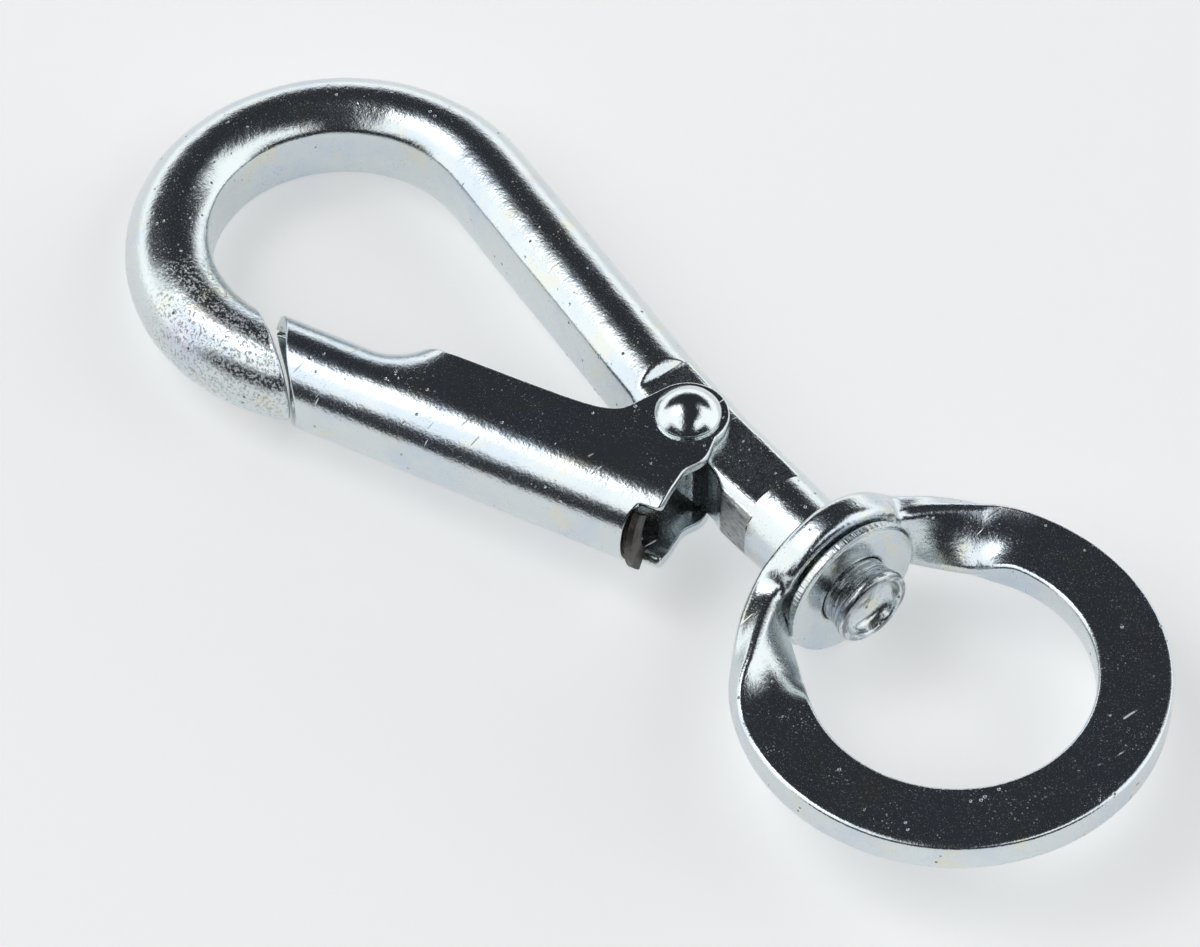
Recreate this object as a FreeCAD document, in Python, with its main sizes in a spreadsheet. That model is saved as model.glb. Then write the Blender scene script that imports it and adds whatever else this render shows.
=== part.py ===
import FreeCAD
import Part
import math
import os

import Sketcher

Vector = FreeCAD.Vector

# Driving dimensions in millimetres and degrees.
# The origin is the centre of the hook's bow, on the middle plane of the bar.
# +X runs from the bow to the swivel ring, +Z is parallel to the pivot rivet.
DIMENSIONS = [
    ("bar_radius", 4.85),
    ("bow_radius", 17.0),
    ("band_depth", 3.85),
    ("pivot_x", 42.0),
    ("shank_y", 11.8),
    ("pivot_drop", 1.2),
    ("shank_radius", 5.0),
    ("shank_length", 18.5),
    ("shank_end_radius", 4.8),
    ("flat_height", 4.0),
    ("flat_back", 6.1),
    ("flat_front", 12.1),
    ("scoop_depth", 3.1),
    ("stud_radius", 3.75),
    ("stud_length", 8.6),
    ("flare_radius", 4.3),
    ("flare_length", 1.9),
    ("cup_radius", 3.2),
    ("cup_depth", 1.6),
    ("gate_lean", 23.6),
    ("gate_length", 43.2),
    ("gate_gap", 0.1),
    ("sheet", 1.15),
    ("channel_drop", 9.1),
    ("ear_radius", 3.95),
    ("tip_start", 27.0),
    ("seam_width", 1.2),
    ("tip_undercut", 7.0),
    ("nose_gap", 3.2),
    ("rivet_radius", 1.8),
    ("rivet_clearance", 0.06),
    ("head_radius", 3.35),
    ("dome_height", 1.55),
    ("leaf_thickness", 0.7),
    ("leaf_width", 4.6),
    ("leaf_length", 15.5),
    ("leaf_end", 0.6),
    ("washer_radius", 7.6),
    ("washer_thickness", 1.25),
    ("swivel_clearance", 0.09),
    ("end_float", 0.3),
    ("eye_thickness", 3.6),
    ("eye_height", 17.2),
    ("ring_radius", 17.65),
    ("ring_width", 7.3),
    ("ring_thickness", 3.5),
    ("edge_round", 0.7),
    ("twist_start", 12.0),
    ("twist_end", 50.0),
]


def make_sheet(doc):
    sheet = doc.addObject("Spreadsheet::Sheet", "Sheet")
    for row, (name, size) in enumerate(DIMENSIONS, start=1):
        sheet.set("A%d" % row, name)
        sheet.set("B%d" % row, str(size))
        sheet.setAlias("B%d" % row, name)
    doc.recompute()
    return sheet


def number(owner, formula):
    """The value of a formula such as 'Sheet.pivot_x + 2'."""
    result = owner.evalExpression(formula)
    return float(getattr(result, "Value", result))


def origin_plane(body, role):
    for feature in body.Origin.OriginFeatures:
        if feature.Role == role:
            return feature
    raise ValueError(role)


def new_sketch(body, name, role, distance=None):
    """A sketch on one of the body's own origin planes, or a distance in front of it."""
    sketch = body.newObject("Sketcher::SketchObject", name)
    sketch.AttachmentSupport = [(origin_plane(body, role), "")]
    sketch.MapMode = "FlatFace"
    if distance is not None:
        sketch.setExpression("AttachmentOffset.Base.z", distance)
    return sketch


def pin_point(sketch, edge, end, x_formula, y_formula):
    """Holds one end of an edge at a place given by two formulas."""
    x_value = number(sketch, x_formula)
    y_value = number(sketch, y_formula)
    across = sketch.addConstraint(Sketcher.Constraint("DistanceX", -1, 1, edge, end, x_value))
    sketch.setExpression("Constraints[%d]" % across, x_formula)
    along = sketch.addConstraint(Sketcher.Constraint("DistanceY", -1, 1, edge, end, y_value))
    sketch.setExpression("Constraints[%d]" % along, y_formula)


def arc_between(start, end, radius, turn):
    """The short arc from start to end; turn is 1 for counter-clockwise and -1 for clockwise."""
    chord = end - start
    rise = math.sqrt(max(radius ** 2 - chord.Length ** 2 / 4.0, 0.0))
    side = Vector(-chord.y, chord.x, 0).normalize() * rise * turn
    centre = (start + end) / 2.0 + side
    first, last = (start, end) if turn > 0 else (end, start)
    low = math.atan2(first.y - centre.y, first.x - centre.x)
    high = math.atan2(last.y - centre.y, last.x - centre.x)
    if high <= low:
        high += 2.0 * math.pi
    return Part.ArcOfCircle(Part.Circle(centre, Vector(0, 0, 1), radius), low, high)


def outline(sketch, corners):
    """A closed outline. A corner is (x, y), or (x, y, radius, turn) where an arc leads on from it."""
    places = [Vector(number(sketch, c[0]), number(sketch, c[1]), 0) for c in corners]
    ends = []
    for index, corner in enumerate(corners):
        start = places[index]
        end = places[(index + 1) % len(places)]
        if len(corner) == 2:
            edge = sketch.addGeometry(Part.LineSegment(start, end))
            ends.append((edge, 1, 2))
            continue
        radius = number(sketch, corner[2])
        edge = sketch.addGeometry(arc_between(start, end, radius, corner[3]))
        ends.append((edge, 1, 2) if corner[3] > 0 else (edge, 2, 1))
        bend = sketch.addConstraint(Sketcher.Constraint("Radius", edge, radius))
        sketch.setExpression("Constraints[%d]" % bend, corner[2])
    for index, (edge, first, last) in enumerate(ends):
        after, after_first, unused = ends[(index + 1) % len(ends)]
        sketch.addConstraint(Sketcher.Constraint("Coincident", edge, last, after, after_first))
        pin_point(sketch, edge, first, corners[index][0], corners[index][1])


def circle(sketch, x_formula, y_formula, radius_formula):
    place = Vector(number(sketch, x_formula), number(sketch, y_formula), 0)
    radius = number(sketch, radius_formula)
    edge = sketch.addGeometry(Part.Circle(place, Vector(0, 0, 1), radius))
    size = sketch.addConstraint(Sketcher.Constraint("Radius", edge, radius))
    sketch.setExpression("Constraints[%d]" % size, radius_formula)
    pin_point(sketch, edge, 3, x_formula, y_formula)


def axis_line(sketch, y_formula):
    """A construction line parallel to X, for a turned shape to spin round."""
    height = number(sketch, y_formula)
    edge = sketch.addGeometry(Part.LineSegment(Vector(0, height, 0), Vector(10, height, 0)), True)
    sketch.addConstraint(Sketcher.Constraint("Horizontal", edge))
    pin_point(sketch, edge, 1, "0", y_formula)
    sketch.addConstraint(Sketcher.Constraint("DistanceX", edge, 1, edge, 2, 10.0))


def add_feature(body, kind, name, profile):
    feature = body.newObject("PartDesign::" + kind, name)
    feature.Profile = profile
    profile.Visibility = False
    return feature


def cut_through(body, name, profile):
    """A pocket right through the body, both ways from its sketch."""
    before = body.Shape.Volume
    pocket = add_feature(body, "Pocket", name, profile)
    pocket.Type = "ThroughAll"
    pocket.Midplane = True
    body.Document.recompute()
    if body.Shape.Volume >= before - 1e-6:
        raise RuntimeError(name + " cuts nothing")
    return pocket


def new_body(doc, label):
    body = doc.addObject("PartDesign::Body", label)
    body.Label = label
    return body


def put_on_pivot(body, turn_formula):
    """Places a body that is drawn with the pivot's axis as its own Z axis."""
    body.Placement = FreeCAD.Placement(Vector(0, 0, 0), FreeCAD.Rotation(Vector(0, 0, 1), 1))
    body.setExpression("Placement.Base.x", "Sheet.pivot_x")
    body.setExpression("Placement.Base.y", "Sheet.shank_y - Sheet.pivot_drop")
    body.setExpression("Placement.Rotation.Angle", turn_formula)


# The hook body: a round bar with a flat band all the way round its inside.

ARM_TURN = (
    "atan(Sheet.shank_y / Sheet.pivot_x)"
    " + acos(Sheet.bow_radius / sqrt(Sheet.pivot_x ^ 2 + Sheet.shank_y ^ 2))"
)


def bar_section(body):
    """The bar's section where bow and arm meet: a circle with its inner side cut flat."""
    sketch = new_sketch(body, "bar_section", "XZ_Plane")
    sketch.AttachmentOffset = FreeCAD.Placement(Vector(0, 0, 0), FreeCAD.Rotation(Vector(0, 1, 0), 45))
    sketch.setExpression("AttachmentOffset.Rotation.Angle", ARM_TURN)
    half = "sqrt(Sheet.bar_radius ^ 2 - Sheet.band_depth ^ 2)"
    inner = "Sheet.bow_radius - Sheet.band_depth"
    outer = "Sheet.bow_radius + Sheet.bar_radius"
    outline(sketch, [
        (inner, half),
        (inner, "-" + half, "Sheet.bar_radius", 1),
        (outer, "0", "Sheet.bar_radius", 1),
    ])
    return sketch


def make_bar(body):
    """The bow is the section turned about the loop's centre; the arm runs straight to the shank."""
    section = bar_section(body)
    bow = add_feature(body, "Revolution", "bow", section)
    bow.ReferenceAxis = (section, ["V_Axis"])
    bow.setExpression("Angle", "315 deg - (" + ARM_TURN + ")")
    bow.Document.recompute()
    arm = add_feature(body, "Pad", "arm", section)
    arm.setExpression("Length", "sqrt(Sheet.pivot_x ^ 2 + Sheet.shank_y ^ 2 - Sheet.bow_radius ^ 2)")
    bow.Document.recompute()


def shank_profile(body):
    """Half of the turned end: shank, shoulder, swivel stud and its flared, cupped tip."""
    sketch = new_sketch(body, "shank_profile", "XY_Plane")
    axis = "Sheet.shank_y"
    shoulder = "Sheet.pivot_x + Sheet.shank_length"
    tip = shoulder + " + Sheet.stud_length"
    outline(sketch, [
        ("Sheet.pivot_x - Sheet.shank_radius", axis, "Sheet.shank_radius", -1),
        ("Sheet.pivot_x", axis + " + Sheet.shank_radius"),
        (shoulder + " - 0.4", axis + " + Sheet.shank_end_radius"),
        (shoulder, axis + " + Sheet.shank_end_radius - 0.4"),
        (shoulder, axis + " + Sheet.stud_radius"),
        (tip + " - Sheet.flare_length", axis + " + Sheet.stud_radius"),
        (tip + " - 0.5", axis + " + Sheet.flare_radius"),
        (tip, axis + " + Sheet.flare_radius - 0.35"),
        (tip, axis + " + Sheet.cup_radius"),
        (tip + " - Sheet.cup_depth", axis + " + Sheet.cup_radius * 0.4"),
        (tip + " - Sheet.cup_depth", axis),
    ])
    axis_line(sketch, axis)
    return sketch


def flats_profile(body):
    """Side view of the two milled flats; the wall at the bow end leans back."""
    sketch = new_sketch(body, "flats_profile", "XZ_Plane")
    back = "Sheet.pivot_x - Sheet.flat_back"
    front = "Sheet.pivot_x + Sheet.flat_front"
    for side in ("", "-"):
        outline(sketch, [
            (back, side + "Sheet.flat_height"),
            (front, side + "Sheet.flat_height"),
            (front, side + "(Sheet.flat_height + 4)"),
            (back + " - 3", side + "(Sheet.flat_height + 4)"),
        ])
    return sketch


def scoop_profile(body):
    """Plan of the relief on the gate side of the shank, with its long run-out facet."""
    sketch = new_sketch(body, "scoop_profile", "XY_Plane")
    floor = "Sheet.shank_y - Sheet.scoop_depth"
    outside = "Sheet.shank_y - Sheet.shank_radius"
    outline(sketch, [
        ("Sheet.pivot_x + 1.8", outside + " - 4"),
        ("Sheet.pivot_x + 14", outside + " - 4"),
        ("Sheet.pivot_x + 14", outside + " + 0.1"),
        ("Sheet.pivot_x + 8.6", outside + " + 0.9", "5", -1),
        ("Sheet.pivot_x + 5.2", floor, "5", -1),
        ("Sheet.pivot_x + 1.8", outside),
    ])
    return sketch


def gate_point(along, inward):
    """Formulas for a place given in the gate's own directions, measured from the pivot."""
    x_formula = "Sheet.pivot_x - (%s) * cos(Sheet.gate_lean) - (%s) * sin(Sheet.gate_lean)"
    y_formula = "Sheet.shank_y - Sheet.pivot_drop - (%s) * sin(Sheet.gate_lean) + (%s) * cos(Sheet.gate_lean)"
    return x_formula % (along, inward), y_formula % (along, inward)


def nose_profile(body):
    """Plan of the slanted cut that the gate's tip closes against."""
    sketch = new_sketch(body, "nose_profile", "XY_Plane")
    reach = "Sheet.gate_length"
    outline(sketch, [
        gate_point(reach + " + Sheet.nose_gap + 3", "-1.6"),
        gate_point(reach + " - Sheet.tip_undercut - 2.6", "-17.2"),
        gate_point(reach + " - 20", "-12"),
        gate_point(reach + " - 8", "3"),
    ])
    return sketch


def make_hook_body(doc):
    body = new_body(doc, "hook_body")
    make_bar(body)
    turned = shank_profile(body)
    shank = add_feature(body, "Revolution", "shank", turned)
    shank.ReferenceAxis = (turned, ["Axis0"])
    shank.Angle = 360
    doc.recompute()
    cut_through(body, "flats", flats_profile(body))
    cut_through(body, "scoop", scoop_profile(body))
    cut_through(body, "nose_cut", nose_profile(body))
    hole = new_sketch(body, "pivot_hole_circle", "XY_Plane")
    circle(hole, "Sheet.pivot_x", "Sheet.shank_y - Sheet.pivot_drop", "Sheet.rivet_radius + Sheet.rivet_clearance")
    cut_through(body, "pivot_hole", hole)
    return body


# The gate is drawn closed along its own X axis, from the pivot to the tip,
# with its own Y axis pointing away from the loop.

HALF_INSIDE = "(Sheet.flat_height + Sheet.gate_gap)"
HALF_OUTSIDE = "(Sheet.flat_height + Sheet.gate_gap + Sheet.sheet)"


def gate_side(body):
    """Side view of the folded sheet, with the ear round the rivet and the stepped lower end."""
    sketch = new_sketch(body, "gate_side", "XY_Plane")
    ear = "Sheet.ear_radius"
    floor = "Sheet.channel_drop + " + HALF_OUTSIDE
    shoulder = "Sheet.channel_drop - " + HALF_OUTSIDE
    outline(sketch, [
        (ear + " * cos(25)", "-" + ear + " * sin(25)"),
        ("6.3", "2.3"),
        ("9.5", shoulder + " - 0.45"),
        ("Sheet.tip_start - 4", shoulder),
        ("Sheet.gate_length + 0.2", shoulder),
        ("Sheet.gate_length - Sheet.tip_undercut", floor),
        ("0.2", floor),
        ("0", "12.8"),
        ("-0.6", "11.7"),
        ("-2.75", "11.6"),
        ("-2.75", "6.2"),
        ("-4.1", "4.3"),
        (ear + " * cos(156)", ear + " * sin(156)", ear, 1),
        ("-" + ear, "0", ear, 1),
        ("0", "-" + ear, ear, 1),
    ])
    return sketch


def channel_section(body, name, half, top):
    """A U outline across the gate, open towards the loop as far as top."""
    sketch = new_sketch(body, name, "YZ_Plane")
    drop = "Sheet.channel_drop"
    outline(sketch, [
        (top, half),
        (top, "-" + half),
        (drop, "-" + half, half, 1),
        (drop + " + " + half, "0", half, 1),
        (drop, half),
    ])
    return sketch


def frame_round(sketch):
    """A rectangle well outside the gate's section, so that only what lies between is cut."""
    outline(sketch, [("-9", "-8"), ("17", "-8"), ("17", "8"), ("-9", "8")])


def make_gate(doc):
    body = new_body(doc, "gate")
    plate = add_feature(body, "Pad", "gate_blank", gate_side(body))
    plate.Midplane = True
    plate.setExpression("Length", "2 * " + HALF_OUTSIDE)
    doc.recompute()

    rounded = channel_section(body, "outer_section", HALF_OUTSIDE, "-8")
    frame_round(rounded)
    cut_through(body, "outer_round", rounded)

    hollow = channel_section(body, "inner_section", HALF_INSIDE, "-8")
    channel = add_feature(body, "Pocket", "channel", hollow)
    channel.Type = "Length"
    channel.Midplane = True
    channel.setExpression("Length", "2 * Sheet.tip_start")
    doc.recompute()

    bore = new_sketch(body, "tip_bore", "YZ_Plane")
    circle(bore, "Sheet.channel_drop", "0", HALF_INSIDE)
    cut_through(body, "tip_hollow", bore)

    seam = new_sketch(body, "seam_slot", "YZ_Plane")
    outline(seam, [
        ("-8", "Sheet.seam_width / 2"),
        ("-8", "-Sheet.seam_width / 2"),
        ("Sheet.channel_drop", "-Sheet.seam_width / 2"),
        ("Sheet.channel_drop", "Sheet.seam_width / 2"),
    ])
    cut_through(body, "tip_seam", seam)

    roll = new_sketch(body, "tip_roll", "YZ_Plane", "Sheet.tip_start")
    frame_round(roll)
    circle(roll, "Sheet.channel_drop", "0", HALF_OUTSIDE)
    rolled = add_feature(body, "Pocket", "tip_round", roll)
    rolled.Type = "ThroughAll"
    rolled.Reversed = True
    doc.recompute()

    hole = new_sketch(body, "ear_hole_circle", "XY_Plane")
    circle(hole, "0", "0", "Sheet.rivet_radius")
    cut_through(body, "ear_holes", hole)
    put_on_pivot(body, "180 deg + Sheet.gate_lean * 1 deg")
    return body


def make_rivet(doc):
    """A pin with a domed head outside each ear."""
    body = new_body(doc, "pivot_rivet")
    profile = new_sketch(body, "rivet_profile", "XZ_Plane")
    top = "(" + HALF_OUTSIDE + " + 0.02)"
    crown = "(" + top + " + 0.35 + Sheet.dome_height)"
    dome = "((Sheet.head_radius ^ 2 + Sheet.dome_height ^ 2) / (2 * Sheet.dome_height))"
    outline(profile, [
        ("0", "-" + crown, dome, 1),
        ("Sheet.head_radius", "-" + top + " - 0.35"),
        ("Sheet.head_radius", "-" + top),
        ("Sheet.rivet_radius", "-" + top),
        ("Sheet.rivet_radius", top),
        ("Sheet.head_radius", top),
        ("Sheet.head_radius", top + " + 0.35", dome, 1),
        ("0", crown),
    ])
    rivet = add_feature(body, "Revolution", "rivet", profile)
    rivet.ReferenceAxis = (profile, ["V_Axis"])
    rivet.Angle = 360
    put_on_pivot(body, "0 deg")
    return body


def leaf_band(body, name, start, outer):
    """An arc across the channel's floor, from the leaf's upper face out to a given radius."""
    sketch = new_sketch(body, name, "YZ_Plane", start)
    inner = "(" + HALF_INSIDE + " - 0.05 - Sheet.leaf_thickness)"
    drop = "Sheet.channel_drop + "
    outline(sketch, [
        (drop + outer + " * cos(48)", "-" + outer + " * sin(48)", outer, 1),
        (drop + outer + " * cos(48)", outer + " * sin(48)"),
        (drop + inner + " * cos(48)", inner + " * sin(48)", inner, -1),
        (drop + inner + " * cos(48)", "-" + inner + " * sin(48)"),
    ])
    return sketch


def leaf_return(body):
    """Side view of the leaf's turned-back leg, which ends just under the shank."""
    sketch = new_sketch(body, "return_side", "XY_Plane")
    bottom = "Sheet.channel_drop + sqrt(" + HALF_INSIDE + " ^ 2 - Sheet.leaf_width ^ 2 / 4) - 0.06"
    leaf = "Sheet.leaf_thickness"
    outline(sketch, [
        ("12.5", bottom + " - " + leaf),
        ("12.5", bottom),
        ("Sheet.leaf_length - 0.9", bottom, "1.45", -1),
        ("Sheet.leaf_length - 0.2", bottom + " - 2.7"),
        ("Sheet.leaf_end", "4.4"),
        ("Sheet.leaf_end - 0.38 * " + leaf, "4.4 + 0.92 * " + leaf),
        ("Sheet.leaf_length - 0.2 - 0.38 * " + leaf, bottom + " - 2.7 + 0.92 * " + leaf, "0.75", 1),
        ("Sheet.leaf_length - 0.9", bottom + " - " + leaf),
    ])
    return sketch


def make_gate_spring(doc):
    """A bent strip of spring steel: it hooks over the channel's lower end and lies on its floor."""
    body = new_body(doc, "gate_spring")
    bed = add_feature(body, "Pad", "bed", leaf_band(body, "bed_band", "-1.3", "(" + HALF_INSIDE + " - 0.05)"))
    bed.setExpression("Length", "Sheet.leaf_length - 1.6")
    lip = add_feature(body, "Pad", "lip", leaf_band(body, "lip_band", "-1.3", "(" + HALF_OUTSIDE + " + 0.35)"))
    lip.Length = 0.7
    leg = add_feature(body, "Pad", "return_leg", leaf_return(body))
    leg.Midplane = True
    leg.setExpression("Length", "Sheet.leaf_width")
    doc.recompute()
    put_on_pivot(body, "180 deg + Sheet.gate_lean * 1 deg")
    return body


# The swivel turns on the stud: ring eye against the shoulder, then the washer.

EYE_BACK = "(Sheet.pivot_x + Sheet.shank_length + Sheet.end_float)"
WASHER_BACK = "(" + EYE_BACK + " + Sheet.eye_thickness + Sheet.end_float)"


def make_washer(doc):
    body = new_body(doc, "swivel_washer")
    profile = new_sketch(body, "washer_profile", "XY_Plane")
    front = WASHER_BACK + " + Sheet.washer_thickness"
    rim = "Sheet.shank_y + Sheet.washer_radius"
    bore = "Sheet.shank_y + Sheet.stud_radius + Sheet.swivel_clearance"
    outline(profile, [
        (WASHER_BACK, bore),
        (front, bore),
        (front, rim + " - 0.45", "0.45", 1),
        (front + " - 0.45", rim),
        (WASHER_BACK + " + 0.3", rim),
        (WASHER_BACK, rim + " - 0.3"),
    ])
    axis_line(profile, "Sheet.shank_y")
    washer = add_feature(body, "Revolution", "washer", profile)
    washer.ReferenceAxis = (profile, ["Axis0"])
    washer.Angle = 360
    return body


def rounded_section(centre, wide, high, width, thickness, corner):
    """A rounded rectangle as a wire, lying in the plane of two unit vectors."""
    def place(across, up):
        return centre + wide * across + high * up

    half = width / 2.0
    rise = thickness / 2.0
    bend = corner * (1.0 - math.sqrt(0.5))
    edges = []
    for side in (1, -1):
        a = place(side * (corner - half), -side * rise)
        b = place(side * (half - corner), -side * rise)
        c = place(side * half, side * (corner - rise))
        d = place(side * half, side * (rise - corner))
        e = place(side * (half - corner), side * rise)
        edges.append(Part.makeLine(a, b))
        edges.append(Part.Arc(b, place(side * (half - bend), side * (bend - rise)), c).toShape())
        edges.append(Part.makeLine(c, d))
        edges.append(Part.Arc(d, place(side * (half - bend), side * (rise - bend)), e).toShape())
    return Part.Wire(edges)


def strap_wire(sizes, angle):
    """The ring's section at an angle from the head: flat far away, turned on edge near the head."""
    start = sizes["twist_start"]
    share = min(max((abs(angle) - start) / (sizes["twist_end"] - start), 0.0), 1.0)
    ease = share * share * (3.0 - 2.0 * share)
    twist = math.radians(90.0 * (1.0 - ease))
    width = sizes["ring_width"]
    turn = math.radians(180.0 + angle)
    out = Vector(math.cos(turn), math.sin(turn), 0)
    up = Vector(0, 0, 1)
    middle = Vector(sizes["ring_x"], sizes["shank_y"], 0) + out * sizes["ring_radius"]
    wide = out * math.cos(twist) + up * math.sin(twist)
    high = up * math.cos(twist) - out * math.sin(twist)
    return rounded_section(middle, wide, high, width, sizes["ring_thickness"], sizes["edge_round"])


def twisted_ring(sizes):
    """The flat ring and the two quarter-twisted straps that lead to its head.

    No sketched feature turns a section about its path, so the straps are lofts.
    """
    end = sizes["twist_end"]
    middle = Vector(sizes["ring_x"], sizes["shank_y"], 0)
    flat = Part.Face(strap_wire(sizes, end)).revolve(middle, Vector(0, 0, 1), 360.0 - 2.0 * end)
    ring = flat
    for side in (1, -1):
        steps = 7
        start = sizes["twist_start"]
        angles = [side * (start + (end - start) * step / (steps - 1.0)) for step in range(steps)]
        ring = ring.fuse(Part.makeLoft([strap_wire(sizes, angle) for angle in angles], True, False))
    return ring


def make_ring_eye(doc, sheet):
    names = [name for name, size in DIMENSIONS]
    sizes = {name: float(sheet.get(name)) for name in names}
    sizes["ring_x"] = number(sheet, EYE_BACK + " + Sheet.eye_thickness / 2 + Sheet.ring_radius")
    straps = doc.addObject("Part::Feature", "ring_straps")
    straps.Shape = twisted_ring(sizes)

    disc = doc.addObject("Part::Cylinder", "head_disc")
    disc.setExpression("Radius", "Sheet.eye_height / 2")
    disc.setExpression("Height", "Sheet.eye_thickness")
    hole = doc.addObject("Part::Cylinder", "head_hole")
    hole.setExpression("Radius", "Sheet.stud_radius + Sheet.swivel_clearance")
    hole.setExpression("Height", "Sheet.eye_thickness + 20")
    seat = doc.addObject("Part::Cylinder", "washer_seat")
    seat.setExpression("Radius", "Sheet.washer_radius + 0.35")
    seat.Height = 6
    front = EYE_BACK + " + Sheet.eye_thickness / 2"
    for piece, back in ((disc, EYE_BACK), (hole, EYE_BACK + " - 10"), (seat, front)):
        piece.Placement = FreeCAD.Placement(Vector(0, 0, 0), FreeCAD.Rotation(Vector(0, 1, 0), 90))
        piece.setExpression("Placement.Base.x", back)
        piece.setExpression("Placement.Base.y", "Sheet.shank_y")
    doc.recompute()

    soft = doc.addObject("Part::Fillet", "head_round")
    soft.Base = disc
    rims = [index for index, edge in enumerate(disc.Shape.Edges, start=1) if edge.isClosed()]
    soft.Edges = [(index, sizes["edge_round"], sizes["edge_round"]) for index in rims]
    cleared = doc.addObject("Part::Cut", "cleared_straps")
    cleared.Base = straps
    cleared.Tool = seat
    whole = doc.addObject("Part::MultiFuse", "ring_blank")
    whole.Shapes = [cleared, soft]
    eye = doc.addObject("Part::Cut", "ring_eye")
    eye.Base = whole
    eye.Tool = hole
    eye.Label = "ring_eye"
    doc.recompute()
    return eye


def check_document(doc, pieces):
    """Stops if any object failed or any piece isn't one sound solid."""
    for item in doc.Objects:
        if "Invalid" in item.State or "Error" in item.State:
            raise RuntimeError(item.Name + " failed")
    for piece in pieces:
        if piece.Shape.isNull() or not piece.Shape.isValid():
            raise RuntimeError(piece.Label + " has no sound shape")
        if len(piece.Shape.Solids) != 1:
            raise RuntimeError(piece.Label + " isn't one solid")


def main():
    doc = FreeCAD.newDocument("swivel_snap_hook")
    sheet = make_sheet(doc)
    pieces = [
        make_hook_body(doc),
        make_gate(doc),
        make_rivet(doc),
        make_gate_spring(doc),
        make_washer(doc),
        make_ring_eye(doc, sheet),
    ]
    doc.recompute()
    check_document(doc, pieces)
    os.makedirs("parts", exist_ok=True)
    for piece in pieces:
        piece.Shape.exportStep("parts/%s.step" % piece.Label)


main()
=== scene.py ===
"""Swivel snap hook in bright zinc plate. All lengths in the builders are millimetres."""

import math

import bpy
import numpy as np
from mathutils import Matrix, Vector
from mathutils.geometry import delaunay_2d_cdt


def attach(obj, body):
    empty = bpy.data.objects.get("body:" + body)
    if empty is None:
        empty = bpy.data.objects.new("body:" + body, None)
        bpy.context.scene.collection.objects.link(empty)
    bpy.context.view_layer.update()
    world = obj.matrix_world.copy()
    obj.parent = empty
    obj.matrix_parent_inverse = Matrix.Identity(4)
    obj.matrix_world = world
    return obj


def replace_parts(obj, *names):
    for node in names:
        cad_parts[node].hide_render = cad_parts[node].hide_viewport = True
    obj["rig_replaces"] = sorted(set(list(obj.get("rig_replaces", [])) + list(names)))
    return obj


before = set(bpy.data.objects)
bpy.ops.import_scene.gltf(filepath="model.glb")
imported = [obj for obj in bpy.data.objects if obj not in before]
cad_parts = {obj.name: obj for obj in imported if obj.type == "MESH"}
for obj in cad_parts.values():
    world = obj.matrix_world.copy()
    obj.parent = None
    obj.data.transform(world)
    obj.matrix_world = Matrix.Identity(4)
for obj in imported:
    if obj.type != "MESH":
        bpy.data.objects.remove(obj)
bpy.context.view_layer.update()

# Sizes shared by the pieces, the same as in the CAD.
PIVOT = np.array([42.0, 10.6])
STUD_Y = 11.8
BAR = 4.85
BOW = 17.0
LEAN = math.radians(23.6)
CHANNEL_N = 9.1
CHANNEL_R = 5.25
SHEET = 1.15
RING_X = 80.25
RING_R = 17.65
HEAD_X = 62.6
FLAT_START = 35.9
FLAT_END = 54.1
FLAT_HEIGHT = 4.0
GATE_END = 43.0
GATE_TIP = 4.2
STRAP_JOIN = 13.6
STUD_HOLE = 3.84
MM = 0.001


# ---------------------------------------------------------------- meshes

def mesh_piece(name, points, faces, body, node, sharp=None):
    """A piece from points in millimetres, riding on a body in place of a CAD node."""
    mesh = bpy.data.meshes.new(name)
    mesh.from_pydata([tuple(p) for p in np.asarray(points, float) * MM], [], faces)
    mesh.validate()
    mesh.shade_smooth()
    if sharp is not None:
        mesh.set_sharp_from_angle(angle=math.radians(sharp))
    piece = bpy.data.objects.new(name, mesh)
    bpy.context.scene.collection.objects.link(piece)
    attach(piece, body)
    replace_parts(piece, node)
    return piece


def skin(rings, closed=False):
    """Points and faces of a tube through equal rings; an open tube gets a point at each end."""
    rings = np.asarray(rings, float)
    count, around = rings.shape[:2]
    points = rings.reshape(-1, 3)
    faces = []
    spans = count if closed else count - 1
    for i in range(spans):
        j = (i + 1) % count
        for k in range(around):
            m = (k + 1) % around
            faces.append((i * around + k, i * around + m, j * around + m, j * around + k))
    if not closed:
        first = len(points)
        points = np.vstack([points, rings[0].mean(0), rings[-1].mean(0)])
        last = (count - 1) * around
        for k in range(around):
            m = (k + 1) % around
            faces.append((first, m, k))
            faces.append((first + 1, last + k, last + m))
    return points, faces


def ease(value, low, high):
    t = np.clip((np.asarray(value, float) - low) / (high - low), 0.0, 1.0)
    return t * t * (3.0 - 2.0 * t)


def soften(corners, radius, steps=5, closed=False):
    """A polyline with its corners rounded. A corner may carry its own radius."""
    corners = [tuple(c) if len(c) == 3 else (c[0], c[1], radius) for c in corners]
    out = []
    count = len(corners)
    for i, (x, y, r) in enumerate(corners):
        here = np.array([x, y])
        if not closed and i in (0, count - 1) or r <= 0:
            out.append(here)
            continue
        before = np.array(corners[i - 1][:2])
        after = np.array(corners[(i + 1) % count][:2])
        back = before - here
        front = after - here
        reach = min(r, 0.48 * np.linalg.norm(back), 0.48 * np.linalg.norm(front))
        a = here + back / np.linalg.norm(back) * reach
        b = here + front / np.linalg.norm(front) * reach
        for t in np.linspace(0.0, 1.0, steps):
            out.append((1 - t) ** 2 * a + 2 * t * (1 - t) * here + t * t * b)
    return np.array(out)


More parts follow.
